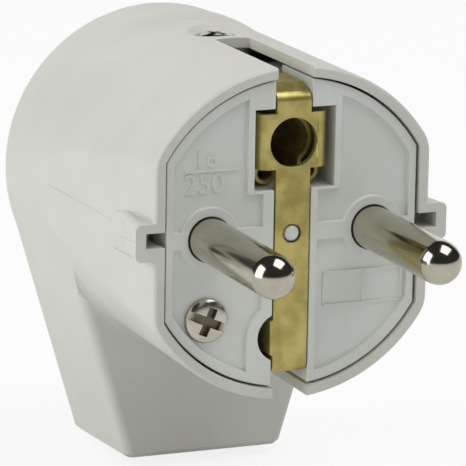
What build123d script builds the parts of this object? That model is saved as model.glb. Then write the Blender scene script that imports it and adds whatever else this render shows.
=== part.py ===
from build123d import *
import math
import os

# Angled two-pin plug with an earth strap, in millimetres
# X is to the right and Z is up as the contact face is seen, and Y runs back into the plug
# The origin is the middle of the pin pattern, on the plane of the casing's rim

# Contact pins
pin_spacing = 19.0
pin_diameter = 4.8
pin_reach = 19.0
pin_clearance = 0.1
pin_neck_diameter = 4.6
pin_neck_show = 0.2
pin_head_diameter = 6.6
pin_head_length = 10.5
pin_cup_depth = 2.5
pin_cup_wall = 1.2
wire_hole = 3.0
wire_hole_depth = 8.6

# Casing: a round shell that narrows to the back, with side flats that run out on it
rim_radius = 18.4
rim_half_flat = 16.0
body_depth = 42.6
back_radius = 18.15
flat_end = 33.0
corner_round = 4.0
back_round = 1.2
rim_bevel = 0.25
wall = 1.2
back_wall = 2.0
seat_rib_width = 1.2
seat_rib_length = 2.0
seat_rib_opening = 14.0

# Cable outlet below the back of the casing
outlet_front = 24.3
outlet_drop = 32.3
outlet_foot_rise = 1.2
outlet_half_width = 9.15
outlet_side_sink = 0.08
outlet_edge_round = 1.2
outlet_foot_bevel = 0.5
outlet_blend = 1.0
outlet_wall = 1.6
outlet_floor = 3.0
cable_bore = 9.0

# Thumb ridge across the top of the back, a shallow dome
ridge_rise = 0.5
ridge_radius = 15.9
ridge_depth = 33.5
ridge_length = 16.0
ridge_width = 24.0

# Slots for the earth contacts and guide bulges, all open at the rim
slot_width = 4.1
slot_depth = 18.0
guide_rise = 2.2
guide_height = 4.15
guide_centre = 0.2
guide_length = 12.0
guide_round = 0.7
guide_wall = 1.25
channel_height = 1.65
channel_centre = 0.4
channel_length = 4.0

# Contact carrier
carrier_gap = 0.25
carrier_depth = 9.0
carrier_skirt = 1.6
border_level = 0.4
panel_sink = 0.5
plate_thickness = 3.0
border_width = 1.1
side_border_width = 0.85
pin_ring_diameter = 7.0
bar_height = 1.9
column_left = -3.4
column_right = 3.0
upper_column_border = 0.75
upper_column_foot = 0.35
notch_border = 1.3

# Earth strap, folded from one strip
strip_thickness = 0.8
strap_width = 4.0
strap_level = 0.35
strap_gap = 0.15
leg_inset = 0.8
leg_ramp_rise = 1.15
leg_ramp = 3.3
leg_end = 14.0
bend_radius = 0.8
head_width = 8.3
head_below = 2.9
head_above = 3.2
head_edge_round = 1.5
wing_end = 2.3
dowel_diameter = 1.7
dowel_gap = 0.2
dowel_round = 0.4
dowel_level = 0.25
lug_end = 12.5
lug_height = 3.9
lug_offset = 0.3
lug_bend = 0.25
lug_clearance = 0.58
notch_radius = 2.7
notch_shift = 1.1
leg_slot_margin = 0.7
leg_slot_room = 0.1

# Earth-pin socket
earth_hole_diameter = 5.4
sleeve_bore = 5.0
sleeve_thickness = 0.4
sleeve_start = 2.4
sleeve_length = 14.5
sleeve_opening = 70.0
curl_radius = 1.05
curl_turn = 240.0
curl_place = 2.5
curl_drop = 3.6
pocket_left = 4.45
pocket_right = 4.9
pocket_below = 5.1
pocket_above = 3.75
pocket_end = 17.6
pocket_wall = 1.35
tower_clearance = 0.25

# Screws
screw_edge_bevel = 0.35
thread_clearance = 0.05
hole_clearance = 0.15
post_wall = 1.6
carrier_screw_x = -9.7
carrier_screw_z = -9.0
carrier_screw_head = 5.0
carrier_screw_shank = 3.0
carrier_screw_length = 22.0
carrier_boss_end = 13.9
post_gap = 0.2
casing_screw_depth = 22.8
casing_screw_head = 4.0
casing_screw_head_height = 0.9
casing_screw_sink = 1.19
casing_screw_shank = 2.6
casing_screw_length = 6.5
casing_screw_room = 0.3
casing_boss_diameter = 7.5
casing_boss_height = 2.15
scoop_radius = 3.7
scoop_depth = 1.05
tongue_gap = 0.1
tongue_half_width = 3.5
tongue_low = 9.0
tongue_end = 27.0
terminal_screw_head = 5.2
terminal_screw_head_height = 2.0
terminal_screw_shank = 3.2
terminal_screw_length = 3.4
earth_screw_head = 5.0
earth_screw_head_height = 1.8
earth_screw_shank = 3.0
earth_screw_length = 4.6
earth_screw_depth = 9.5
washer_diameter = 5.6
washer_thickness = 0.7

# Cord clamp inside the outlet
clamp_height = -16.5
clamp_spacing = 16.0
clamp_bar_width = 5.0
clamp_bar_thickness = 2.2
clamp_bar_overhang = 2.7
clamp_bar_round = 1.0
clamp_room = 5.1
clamp_screw_head = 4.8
clamp_screw_head_height = 1.8
clamp_screw_shank = 2.9
clamp_screw_room = 2.8

# Sizes worked out from the driving ones
pin_radius = pin_diameter / 2
half_spacing = pin_spacing / 2
pin_sides = (-half_spacing, half_spacing)
pin_places = [(place, 0) for place in pin_sides]
half_clamp = clamp_spacing / 2
clamp_places = ((-half_clamp, clamp_height), (half_clamp, clamp_height))
chamber_end = body_depth - back_wall
outlet_length = body_depth - outlet_front
outlet_middle = outlet_front + outlet_length / 2
clamp_post_front = outlet_front + outlet_wall + clamp_room
panel_level = border_level + panel_sink
plate_back = border_level + plate_thickness
pin_neck_start = border_level - pin_neck_show
pin_head_end = plate_back + pin_head_length
strap_back = strap_level + strip_thickness
strap_middle = strap_level + strip_thickness / 2
channel_width = strap_width + 2 * strap_gap
guide_half_width = rim_half_flat + guide_rise
channel_half_width = guide_half_width - guide_wall
carrier_radius = rim_radius - wall - carrier_gap
carrier_half_flat = rim_half_flat - wall - carrier_gap
leg_height = carrier_radius - leg_inset
leg_middle = leg_height - strip_thickness / 2
strap_reach = leg_height - leg_ramp_rise
leg_slot_low = strap_reach - leg_slot_margin
leg_slot_high = strap_reach + leg_slot_room
pocket_high = leg_height - strip_thickness - tower_clearance - pocket_wall
earth_hole_height = pocket_high - pocket_above
pocket_low = earth_hole_height - pocket_below
tower_left = pocket_left + pocket_wall
tower_right = pocket_right + pocket_wall
tower_end = pocket_end + pocket_wall
column_reach_left = pocket_left + upper_column_border
column_reach_right = pocket_right + upper_column_border
upper_column_low = pocket_low - upper_column_foot
head_low = earth_hole_height - head_below
head_high = earth_hole_height + head_above
lug_left = -strap_width / 2 - lug_offset
lug_right = lug_left + strip_thickness
washer_left = lug_left - washer_thickness
clamp_bar_front = clamp_post_front - clamp_bar_thickness
clamp_screw_length = chamber_end - clamp_screw_room - clamp_bar_front
carrier_post_front = carrier_boss_end + post_gap
far = 3 * rim_radius

# The earth terminal lies as low as its screw head can inside the carrier's skirt
terminal_reach = earth_screw_head_height - washer_left
skirt_drop = math.sqrt((carrier_radius - carrier_skirt) ** 2 - terminal_reach**2)
lug_centre = earth_screw_head / 2 + lug_clearance - skirt_drop
notch_place = (notch_shift - channel_width / 2, lug_centre)
lower_column_left = notch_place[0] - notch_radius - notch_border

# The outlet's sides run up to touch the back circle, a little inside it
side_reach = back_radius - outlet_side_sink
corner_distance = math.hypot(outlet_half_width, outlet_drop)
outlet_lean = math.asin(side_reach / corner_distance) - math.atan2(outlet_half_width, outlet_drop)
outlet_top = -side_reach * math.sin(outlet_lean)
outlet_top_half_width = side_reach * math.cos(outlet_lean)


def at_depth(depth):
    """The plane parallel to the contact face that lies the given depth behind the rim."""
    return Plane.XZ.offset(-depth)


def body_radius(depth):
    """The radius of the casing's round outside at a depth."""
    return rim_radius + (back_radius - rim_radius) * depth / body_depth


def flat_plane(side, inset):
    """The leaning plane of one side flat, moved inwards by the inset."""
    return Plane(
        origin=(side * (rim_half_flat - inset), 0, 0),
        z_dir=(side * flat_end, rim_half_flat - body_radius(flat_end), 0),
    )


def shell_profile(inset, end):
    """Half the lengthwise section of the round shell, as a face below its axis."""
    below = Plane(origin=(0, 0, 0), x_dir=(0, 0, -1), z_dir=(1, 0, 0))
    with BuildSketch(below) as profile:
        with BuildLine():
            Polyline(
                (0, 0),
                (rim_radius - inset, 0),
                (body_radius(end) - inset, end),
                (0, end),
                close=True,
            )
        make_face()
    return profile.sketch


def face_outline(inset):
    """The round outline with side flats of the carrier, drawn in by the inset."""
    with BuildSketch() as outline:
        Circle(carrier_radius - inset)
        Rectangle(2 * (carrier_half_flat - inset), 2 * carrier_radius, mode=Mode.INTERSECT)
    return outline.sketch


def outlet_outline(inset, floor):
    """The tapering outline of the outlet, drawn in by the inset and closed by the floor."""
    foot = outlet_half_width + floor * math.tan(outlet_lean) - inset
    top = outlet_top_half_width - inset
    with BuildSketch() as outline:
        Polygon(
            (-foot, floor - outlet_drop),
            (foot, floor - outlet_drop),
            (top, outlet_top),
            (-top, outlet_top),
            align=None,
        )
    return outline.sketch


def span(left, right, low, high):
    """A rectangle in the contact face, given by its four sides."""
    with BuildSketch() as area:
        with Locations(((left + right) / 2, (low + high) / 2)):
            Rectangle(right - left, high - low)
    return area.sketch


def pan_screw(seat, head_diameter, head_height, shank_diameter, shank_length):
    """A pan-head screw with its head on the seat plane and its shank behind it."""
    with BuildPart() as screw:
        with BuildSketch(seat):
            Circle(head_diameter / 2)
        extrude(amount=head_height)
        chamfer(screw.faces().sort_by(Axis(seat.origin, seat.z_dir))[-1].edges(), screw_edge_bevel)
        with BuildSketch(seat):
            Circle(shank_diameter / 2)
        extrude(amount=-shank_length)
    return screw.part


def contact_pin(place):
    """A turned contact pin with a round tip, a neck in the plate and two holes in its head."""
    axis = Axis((place, 0, 0), (0, 1, 0))
    with BuildPart() as pin:
        with BuildSketch():
            with BuildLine():
                tip = CenterArc((place, pin_radius - pin_reach), pin_radius, 270, 90)
                Polyline(
                    tip @ 1,
                    (place + pin_radius, pin_neck_start),
                    (place + pin_neck_diameter / 2, pin_neck_start),
                    (place + pin_neck_diameter / 2, plate_back),
                    (place + pin_head_diameter / 2, plate_back),
                    (place + pin_head_diameter / 2, pin_head_end),
                    (place, pin_head_end),
                    tip @ 0,
                )
            make_face()
        revolve(axis=axis)
        with BuildSketch(Plane.XY):
            with Locations((place, wire_hole_depth)):
                Circle(wire_hole / 2)
        extrude(amount=pin_head_diameter, both=True, mode=Mode.SUBTRACT)
        with BuildSketch(at_depth(pin_head_end)):
            with Locations((place, 0)):
                Circle(terminal_screw_shank / 2 + thread_clearance)
        extrude(amount=pin_head_end - wire_hole_depth, mode=Mode.SUBTRACT)
    return pin.part


# Places that follow the slope of the casing
scoop_top = body_radius(casing_screw_depth)
casing_screw_seat = scoop_top - casing_screw_sink
casing_boss_low = casing_screw_seat - casing_boss_height
ridge_height = body_radius(ridge_depth) + ridge_rise

# The hollow inside the casing, with ribs left standing for the carrier to seat on
with BuildPart() as chamber:
    add(shell_profile(wall, chamber_end))
    revolve(axis=Axis.Y)
    for side in (1, -1):
        split(bisect_by=flat_plane(side, wall), keep=Keep.BOTTOM)
    with BuildSketch(at_depth(carrier_depth)):
        Circle(far)
        add(face_outline(seat_rib_width), mode=Mode.SUBTRACT)
        Rectangle(seat_rib_opening, 2 * far, mode=Mode.SUBTRACT)
        with Locations((carrier_screw_x, carrier_screw_z)):
            Circle(carrier_screw_shank / 2 + post_wall + post_gap, mode=Mode.SUBTRACT)
    extrude(amount=-seat_rib_length, mode=Mode.SUBTRACT)
    with BuildSketch(at_depth(outlet_front + outlet_wall)):
        add(outlet_outline(outlet_wall, outlet_floor))
    extrude(amount=outlet_front + outlet_wall - chamber_end)

# The outlet, rounded along its four long edges and bevelled around its leaning foot
with BuildPart() as outlet:
    with BuildSketch(at_depth(outlet_front)):
        add(outlet_outline(0, 0))
    extrude(amount=-outlet_length)
    foot = Plane(origin=(0, body_depth, -outlet_drop), z_dir=(0, outlet_foot_rise, outlet_length))
    split(bisect_by=foot, keep=Keep.TOP)
    fillet(outlet.faces().sort_by(Axis.Y)[0].edges().sort_by(Axis.X)[::3], outlet_edge_round)
    fillet(outlet.faces().sort_by(Axis.Y)[-1].edges().sort_by(Axis.X)[::3], back_round)
    chamfer(outlet.faces().sort_by(Axis.Z)[0].edges(), outlet_foot_bevel)

# The hollow curve between the round body and the outlet's front
with BuildPart() as outlet_root:
    root_radius = body_radius(outlet_front)
    with BuildSketch():
        with BuildLine():
            hollow = CenterArc((root_radius + outlet_blend, outlet_front - outlet_blend), outlet_blend, 90, 90)
            Polyline(
                hollow @ 1,
                (root_radius - wall, outlet_front - outlet_blend),
                (root_radius - wall, outlet_front),
                hollow @ 0,
            )
        make_face()
    revolve(axis=Axis.Y)
    with BuildSketch(at_depth(outlet_front)):
        add(outlet_outline(0, 0))
    extrude(amount=outlet_blend, mode=Mode.INTERSECT)

# Thumb ridge
with BuildPart() as ridge:
    with Locations((0, ridge_depth, ridge_height - ridge_radius)):
        Sphere(ridge_radius)
    with Locations((0, ridge_depth, ridge_height)):
        Box(ridge_width, ridge_length, ridge_radius, mode=Mode.INTERSECT)

# Guide bulges, wedges that run out on the side flats
with BuildPart() as guides:
    with BuildSketch(Plane.XY.offset(guide_centre)):
        Polygon(
            (-guide_half_width, 0),
            (guide_half_width, 0),
            (rim_half_flat, guide_length),
            (-rim_half_flat, guide_length),
            align=None,
        )
    extrude(amount=guide_height / 2, both=True)
    slopes = guides.faces().sort_by(Axis.X)
    fillet((slopes[0].edges() + slopes[-1].edges()).filter_by(Axis.Z, reverse=True), guide_round)

# Casing
with BuildPart() as casing:
    add(shell_profile(0, body_depth))
    revolve(axis=Axis.Y)
    for side in (1, -1):
        split(bisect_by=flat_plane(side, 0), keep=Keep.BOTTOM)
    flats = casing.faces().filter_by(GeomType.PLANE).sort_by(Axis.X)
    for flat in (flats[0], flats[-1]):
        fillet(flat.edges().sort_by(Axis.Y)[1:], corner_round)
    fillet(casing.faces().sort_by(Axis.Y)[-1].edges(), back_round)
    chamfer(casing.faces().sort_by(Axis.Y)[0].edges(), rim_bevel)
    add(outlet.part)
    add(outlet_root.part)
    add(ridge.part)
    add(guides.part)
    add(chamber.part, mode=Mode.SUBTRACT)
    # Guide channels inside the bulges
    with BuildSketch(at_depth(0)):
        with Locations((0, channel_centre)):
            Rectangle(2 * channel_half_width, channel_height)
    extrude(amount=-channel_length, mode=Mode.SUBTRACT)
    # Saddle that the cord lies against, and posts for the carrier screw and the cord clamp
    with BuildSketch(at_depth(outlet_middle + cable_bore / 2)):
        with Locations((0, clamp_height)):
            Rectangle(clamp_spacing - clamp_screw_shank - post_wall, clamp_bar_width)
    extrude(amount=outlet_middle + cable_bore / 2 - chamber_end)
    with BuildSketch(at_depth(carrier_post_front)):
        with Locations((carrier_screw_x, carrier_screw_z)):
            Circle(carrier_screw_shank / 2 + post_wall)
            Circle(carrier_screw_shank / 2 + thread_clearance, mode=Mode.SUBTRACT)
    extrude(amount=carrier_post_front - chamber_end)
    with BuildSketch(at_depth(clamp_post_front)):
        with Locations(clamp_places):
            Circle(clamp_screw_shank / 2 + post_wall)
            Circle(clamp_screw_shank / 2 + thread_clearance, mode=Mode.SUBTRACT)
    extrude(amount=clamp_post_front - chamber_end)
    # Boss and scoop for the casing screw
    with BuildSketch(Plane.XY.offset(casing_boss_low)):
        with Locations((0, casing_screw_depth)):
            Circle(casing_boss_diameter / 2)
    extrude(amount=scoop_top - wall / 2 - casing_boss_low)
    dish_radius = (scoop_radius**2 + scoop_depth**2) / (2 * scoop_depth)
    with Locations((0, casing_screw_depth, scoop_top - scoop_depth + dish_radius)):
        Sphere(dish_radius, mode=Mode.SUBTRACT)
    with BuildSketch(Plane.XY.offset(casing_screw_seat)):
        with Locations((0, casing_screw_depth)):
            Circle(casing_screw_head / 2 + casing_screw_room)
    extrude(amount=scoop_depth, mode=Mode.SUBTRACT)
    with BuildSketch(Plane.XY.offset(casing_boss_low)):
        with Locations((0, casing_screw_depth)):
            Circle(casing_screw_shank / 2 + hole_clearance)
    extrude(amount=scoop_top - casing_boss_low, mode=Mode.SUBTRACT)
    # Slots for the earth contacts
    with BuildSketch(at_depth(0)):
        for side in (1, -1):
            with Locations((0, side * rim_radius)):
                Rectangle(slot_width, 2 * (rim_radius - carrier_radius + carrier_skirt))
    extrude(amount=-slot_depth, mode=Mode.SUBTRACT)
    # Cable hole
    with BuildSketch(Plane.XY.offset(-outlet_drop)):
        with Locations((0, outlet_middle)):
            Circle(cable_bore / 2)
    extrude(amount=outlet_floor, mode=Mode.SUBTRACT)

# Contact carrier
with BuildPart() as contact_carrier:
    with BuildSketch(at_depth(border_level)):
        add(face_outline(0))
    extrude(amount=border_level - carrier_depth)
    with BuildSketch(at_depth(plate_back)):
        add(face_outline(carrier_skirt))
    extrude(amount=plate_back - carrier_depth, mode=Mode.SUBTRACT)
    # Sunk panels around the columns, the bars and the pin rings
    with BuildSketch(at_depth(border_level)):
        Circle(carrier_radius - border_width)
        Rectangle(2 * (carrier_half_flat - side_border_width), far, mode=Mode.INTERSECT)
        add(span(-column_reach_left, column_reach_right, upper_column_low, far), mode=Mode.SUBTRACT)
        add(span(column_left, column_right, -far, far), mode=Mode.SUBTRACT)
        add(span(lower_column_left, 0, -far, lug_centre), mode=Mode.SUBTRACT)
        with Locations(notch_place):
            Circle(notch_radius + notch_border, mode=Mode.SUBTRACT)
        Rectangle(far, bar_height, mode=Mode.SUBTRACT)
        with Locations(pin_places):
            Circle(pin_ring_diameter / 2, mode=Mode.SUBTRACT)
    extrude(amount=-panel_sink, mode=Mode.SUBTRACT)
    # Socket tower with the tongue that takes the casing screw
    with BuildSketch(at_depth(plate_back)):
        add(span(-tower_left, tower_right, pocket_low - pocket_wall, pocket_high + pocket_wall))
    extrude(amount=plate_back - tower_end)
    with BuildSketch(at_depth(border_level)):
        add(span(-pocket_left, pocket_right, pocket_low, pocket_high))
    extrude(amount=border_level - pocket_end, mode=Mode.SUBTRACT)
    with BuildSketch(at_depth(tower_end)):
        add(span(-tongue_half_width, tongue_half_width, tongue_low, casing_boss_low - tongue_gap))
    extrude(amount=tower_end - tongue_end)
    with BuildSketch(Plane.XY.offset(tongue_low)):
        with Locations((0, casing_screw_depth)):
            Circle(casing_screw_shank / 2 + thread_clearance)
    extrude(amount=casing_boss_low - tongue_low, mode=Mode.SUBTRACT)
    # Cups around the pin heads and the boss for the carrier screw
    with BuildSketch(at_depth(plate_back)):
        with Locations(pin_places):
            Circle(pin_head_diameter / 2 + pin_clearance + pin_cup_wall)
            Circle(pin_head_diameter / 2 + pin_clearance, mode=Mode.SUBTRACT)
        add(face_outline(0), mode=Mode.INTERSECT)
    extrude(amount=-pin_cup_depth)
    with BuildSketch(at_depth(plate_back)):
        with Locations((carrier_screw_x, carrier_screw_z)):
            Circle(carrier_screw_shank / 2 + post_wall)
    extrude(amount=plate_back - carrier_boss_end)
    # Through holes
    with BuildSketch(at_depth(border_level)):
        with Locations(pin_places):
            Circle(pin_radius + pin_clearance)
    extrude(amount=-plate_thickness, mode=Mode.SUBTRACT)
    with BuildSketch(at_depth(border_level)):
        with Locations((carrier_screw_x, carrier_screw_z)):
            Circle(carrier_screw_shank / 2 + hole_clearance)
    extrude(amount=border_level - carrier_boss_end, mode=Mode.SUBTRACT)
    with BuildSketch(at_depth(border_level)):
        with Locations(notch_place):
            Circle(notch_radius)
        add(span(-far, lug_right + strap_gap, -far, far), mode=Mode.INTERSECT)
    extrude(amount=-plate_thickness, mode=Mode.SUBTRACT)
    # Strap channel, the slots that its legs pass through and the dowel in its floor
    with BuildSketch(at_depth(border_level)):
        add(span(-channel_width / 2, channel_width / 2, -leg_slot_high, leg_slot_high))
    extrude(amount=border_level - strap_back, mode=Mode.SUBTRACT)
    for side in (1, -1):
        with BuildSketch(Plane.YZ):
            Polygon(
                (0, side * leg_slot_low),
                (strap_back, side * leg_slot_low),
                (plate_back, side * leg_slot_high),
                (carrier_depth, side * leg_slot_high),
                (carrier_depth, side * rim_radius),
                (0, side * rim_radius),
                align=None,
            )
        extrude(amount=channel_width / 2, both=True, mode=Mode.SUBTRACT)
    with BuildSketch(at_depth(strap_back)):
        Circle(dowel_diameter / 2)
    extrude(amount=strap_back - dowel_level)
    fillet(contact_carrier.edges().filter_by(GeomType.CIRCLE).sort_by(Axis.Y)[0], dowel_round)

# Earth strap
with BuildPart() as earth_strap:
    with BuildSketch(Plane.YZ):
        with BuildLine():
            FilletPolyline(
                (leg_end, -leg_middle),
                (leg_ramp, -leg_middle),
                (strap_middle, -strap_reach),
                (strap_middle, strap_reach),
                (leg_ramp, leg_middle),
                (leg_end, leg_middle),
                radius=bend_radius,
            )
        trace(line_width=strip_thickness)
    extrude(amount=strap_width / 2, both=True)
    # Wide head with its side wings
    with BuildSketch(at_depth(strap_level)):
        add(span(-head_width / 2, head_width / 2, head_low, head_high))
    extrude(amount=strap_level - wing_end)
    front_edges = earth_strap.edges().filter_by(Axis.Z).group_by(Axis.Y)[0]
    fillet([front_edges.sort_by(Axis.X)[0], front_edges.sort_by(Axis.X)[-1]], head_edge_round)
    with BuildSketch(at_depth(strap_back)):
        inner_half = head_width / 2 - strip_thickness
        add(span(-inner_half, inner_half, head_low, head_high))
    extrude(amount=strap_back - wing_end, mode=Mode.SUBTRACT)
    # Lug for the earth wire
    with BuildSketch(at_depth(strap_level)):
        add(span(lug_left, lug_right, lug_centre - lug_height / 2, lug_centre + lug_height / 2))
    extrude(amount=strap_level - lug_end)
    bend_edges = earth_strap.edges().filter_by(Axis.Z).filter_by_position(Axis.X, lug_left, lug_left)
    fillet(bend_edges.sort_by(Axis.Y)[0], lug_bend)
    with BuildSketch(Plane.YZ.offset(lug_right)):
        with Locations((earth_screw_depth, lug_centre)):
            Circle(earth_screw_shank / 2 + thread_clearance)
    extrude(amount=-strip_thickness, mode=Mode.SUBTRACT)
    # Holes for the earth pin and the dowel
    with BuildSketch(at_depth(strap_level)):
        with Locations((0, earth_hole_height)):
            Circle(earth_hole_diameter / 2)
        Circle(dowel_diameter / 2 + dowel_gap)
    extrude(amount=-strip_thickness, mode=Mode.SUBTRACT)

# Earth sleeve: a split spring tube whose ends turn into curls
with BuildPart() as earth_sleeve:
    with BuildSketch(at_depth(sleeve_start)):
        with BuildLine():
            middle_radius = (sleeve_bore + sleeve_thickness) / 2
            start_angle = sleeve_opening / 2 - 90
            tube = CenterArc((0, earth_hole_height), middle_radius, start_angle, 360 - sleeve_opening)
            left_curl = CenterArc((-curl_place, earth_hole_height - curl_drop), curl_radius, 0, -curl_turn)
            right_curl = CenterArc((curl_place, earth_hole_height - curl_drop), curl_radius, 180, curl_turn)
            Line(tube @ 0, right_curl @ 0)
            Line(tube @ 1, left_curl @ 0)
            offset(amount=sleeve_thickness / 2, side=Side.BOTH)
        make_face()
    extrude(amount=-sleeve_length)

# Pins and their terminal screws
pins = [contact_pin(place) for place in pin_sides]
terminal_screws = [
    pan_screw(
        Plane(origin=(place, pin_head_end, 0), z_dir=(0, 1, 0)),
        terminal_screw_head,
        terminal_screw_head_height,
        terminal_screw_shank,
        terminal_screw_length,
    )
    for place in pin_sides
]

# Earth terminal: a washer and a screw across the strap's lug
with BuildPart() as earth_terminal_washer:
    with BuildSketch(Plane.YZ.offset(washer_left)):
        with Locations((earth_screw_depth, lug_centre)):
            Circle(washer_diameter / 2)
            Circle(earth_screw_shank / 2 + hole_clearance, mode=Mode.SUBTRACT)
    extrude(amount=washer_thickness)
earth_terminal_screw = pan_screw(
    Plane(origin=(washer_left, earth_screw_depth, lug_centre), z_dir=(-1, 0, 0)),
    earth_screw_head,
    earth_screw_head_height,
    earth_screw_shank,
    earth_screw_length,
)

# Screws that hold the carrier and the casing together
carrier_screw = pan_screw(
    Plane(origin=(carrier_screw_x, panel_level, carrier_screw_z), z_dir=(0, -1, 0)),
    carrier_screw_head,
    panel_level,
    carrier_screw_shank,
    carrier_screw_length,
)
casing_screw = pan_screw(
    Plane(origin=(0, casing_screw_depth, casing_screw_seat), z_dir=(0, 0, 1)),
    casing_screw_head,
    casing_screw_head_height,
    casing_screw_shank,
    casing_screw_length,
)

# Cord clamp
with BuildPart() as cord_clamp_bar:
    with BuildSketch(at_depth(clamp_bar_front)) as bar:
        with Locations((0, clamp_height)):
            Rectangle(clamp_spacing + 2 * clamp_bar_overhang, clamp_bar_width)
        fillet(bar.vertices(), clamp_bar_round)
        with Locations(clamp_places):
            Circle(clamp_screw_shank / 2 + hole_clearance, mode=Mode.SUBTRACT)
    extrude(amount=-clamp_bar_thickness)
clamp_screws = [
    pan_screw(
        Plane(origin=(place, clamp_bar_front, height), z_dir=(0, -1, 0)),
        clamp_screw_head,
        clamp_screw_head_height,
        clamp_screw_shank,
        clamp_screw_length,
    )
    for place, height in clamp_places
]

# Every piece goes out under its own name
pieces = {
    "casing": casing.part,
    "contact_carrier": contact_carrier.part,
    "left_pin": pins[0],
    "right_pin": pins[1],
    "left_terminal_screw": terminal_screws[0],
    "right_terminal_screw": terminal_screws[1],
    "earth_strap": earth_strap.part,
    "earth_sleeve": earth_sleeve.part,
    "earth_terminal_screw": earth_terminal_screw,
    "earth_terminal_washer": earth_terminal_washer.part,
    "carrier_screw": carrier_screw,
    "casing_screw": casing_screw,
    "cord_clamp_bar": cord_clamp_bar.part,
    "left_clamp_screw": clamp_screws[0],
    "right_clamp_screw": clamp_screws[1],
}
os.makedirs("parts", exist_ok=True)
for name, piece in pieces.items():
    piece.label = name
    export_step(piece, f"parts/{name}.step")
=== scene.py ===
"""Dresses the angled plug: smooth mouldings, threaded screws, raised figures, finishes, light and camera."""

import logging
import math
from abc import ABC, abstractmethod
from collections.abc import Callable
from dataclasses import dataclass
from enum import Enum

import bmesh
import bpy
from mathutils import Matrix, Vector


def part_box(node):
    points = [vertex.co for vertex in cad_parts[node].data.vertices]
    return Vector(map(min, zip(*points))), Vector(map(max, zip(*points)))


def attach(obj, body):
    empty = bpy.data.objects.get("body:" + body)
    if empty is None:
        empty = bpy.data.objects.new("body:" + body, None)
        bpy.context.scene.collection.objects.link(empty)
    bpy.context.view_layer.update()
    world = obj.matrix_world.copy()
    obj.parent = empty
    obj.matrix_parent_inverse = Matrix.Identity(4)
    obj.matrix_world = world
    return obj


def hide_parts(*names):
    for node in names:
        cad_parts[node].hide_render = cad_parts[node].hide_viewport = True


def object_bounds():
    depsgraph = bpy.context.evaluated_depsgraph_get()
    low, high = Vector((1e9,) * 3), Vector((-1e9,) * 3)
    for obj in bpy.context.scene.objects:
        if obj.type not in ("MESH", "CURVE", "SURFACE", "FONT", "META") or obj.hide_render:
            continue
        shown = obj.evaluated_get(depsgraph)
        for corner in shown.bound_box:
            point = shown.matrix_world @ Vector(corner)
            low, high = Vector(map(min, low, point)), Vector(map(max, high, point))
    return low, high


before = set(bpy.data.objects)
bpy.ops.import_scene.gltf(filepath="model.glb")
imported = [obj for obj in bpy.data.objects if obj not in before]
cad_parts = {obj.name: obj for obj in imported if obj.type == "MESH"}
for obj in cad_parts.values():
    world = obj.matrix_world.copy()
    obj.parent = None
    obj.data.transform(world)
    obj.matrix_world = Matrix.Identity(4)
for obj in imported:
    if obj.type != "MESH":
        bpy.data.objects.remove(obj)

LOG = logging.getLogger("angled_plug")
CAD_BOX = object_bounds()
BODY = "root"
MM = 0.001
WELD = 1e-6
FLAT_ANGLE = math.radians(0.2)
SHORT_EDGE = 0.15 * MM
NOISE_RANGE = (0.3, 0.7)
WHITE = (1.0, 1.0, 1.0, 1.0)

Colour = tuple[int, int, int]
Socket = bpy.types.NodeSocket
Entry = bpy.types.NodeOutputs
Leave = bpy.types.NodeInputs


def linear(colour: Colour) -> tuple[float, float, float, float]:
    """Turns a screen colour into the linear colour with alpha that a shader takes.

    Args:
        colour: Red, green and blue from 0 to 255.

    Returns:
        The linear red, green, blue and alpha.
    """
    shares = [channel / 255 for channel in colour]
    red, green, blue = (s / 12.92 if s <= 0.04045 else ((s + 0.055) / 1.055) ** 2.4 for s in shares)
    return red, green, blue, 1.0


class Bench:
    """Places and joins the nodes of one node tree."""

    def __init__(self, tree: bpy.types.NodeTree) -> None:
        """Takes the tree that the nodes go into."""
        self.tree = tree

    def add(self, kind: str, inputs: dict | None = None, **settings: object) -> bpy.types.Node:
        """Adds one node, with its settings and its inputs.

        Args:
            kind: The node's type name.
            inputs: Values or sockets for the node's inputs, by name or number.
            **settings: Properties of the node itself.

        Returns:
            The new node.
        """
        node = self.tree.nodes.new(kind)
        for key, value in settings.items():
            setattr(node, key, value)
        for key, value in (inputs or {}).items():
            if isinstance(value, Socket):
                self.tree.links.new(value, node.inputs[key])
            else:
                node.inputs[key].default_value = value
        return node

    def math(self, operation: str, *values: Socket | float, clamp: bool = False) -> Socket:
        """Adds a Math node.

        Args:
            operation: The operation's name.
            *values: Numbers or sockets for its inputs.
            clamp: Whether the result is held between 0 and 1.

        Returns:
            The result's socket.
        """
        node = self.add("ShaderNodeMath", dict(enumerate(values)), operation=operation, use_clamp=clamp)
        return node.outputs[0]

    def vector(self, operation: str, *values: Socket | tuple, output: str = "Vector") -> Socket:
        """Adds a Vector Math node.

        Args:
            operation: The operation's name.
            *values: Vectors or sockets for its inputs.
            output: Which result is wanted, Vector or Value.

        Returns:
            The result's socket.
        """
        node = self.add("ShaderNodeVectorMath", dict(enumerate(values)), operation=operation)
        return node.outputs[output]

    def spread(self, value: Socket, low: float, high: float, start: float = 0.0, end: float = 1.0) -> Socket:
        """Maps a value's range smoothly to another one.

        Args:
            value: The socket to read.
            low: The value that gives the start.
            high: The value that gives the end.
            start: The result at the low value and under it.
            end: The result at the high value and over it.

        Returns:
            The mapped value's socket.
        """
        names = {"Value": value, "From Min": low, "From Max": high, "To Min": start, "To Max": end}
        return self.add("ShaderNodeMapRange", names, interpolation_type="SMOOTHSTEP").outputs["Result"]

    def blend(self, share: Socket, first: Socket | tuple, second: Socket | tuple) -> Socket:
        """Mixes two colours.

        Args:
            share: How much of the second colour shows.
            first: The first colour or its socket.
            second: The second colour or its socket.

        Returns:
            The mixed colour's socket.
        """
        # A Mix node's colours come after its numbers and vectors
        node = self.add("ShaderNodeMix", {0: share, 6: first, 7: second}, data_type="RGBA", clamp_factor=True)
        return node.outputs[2]


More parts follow.
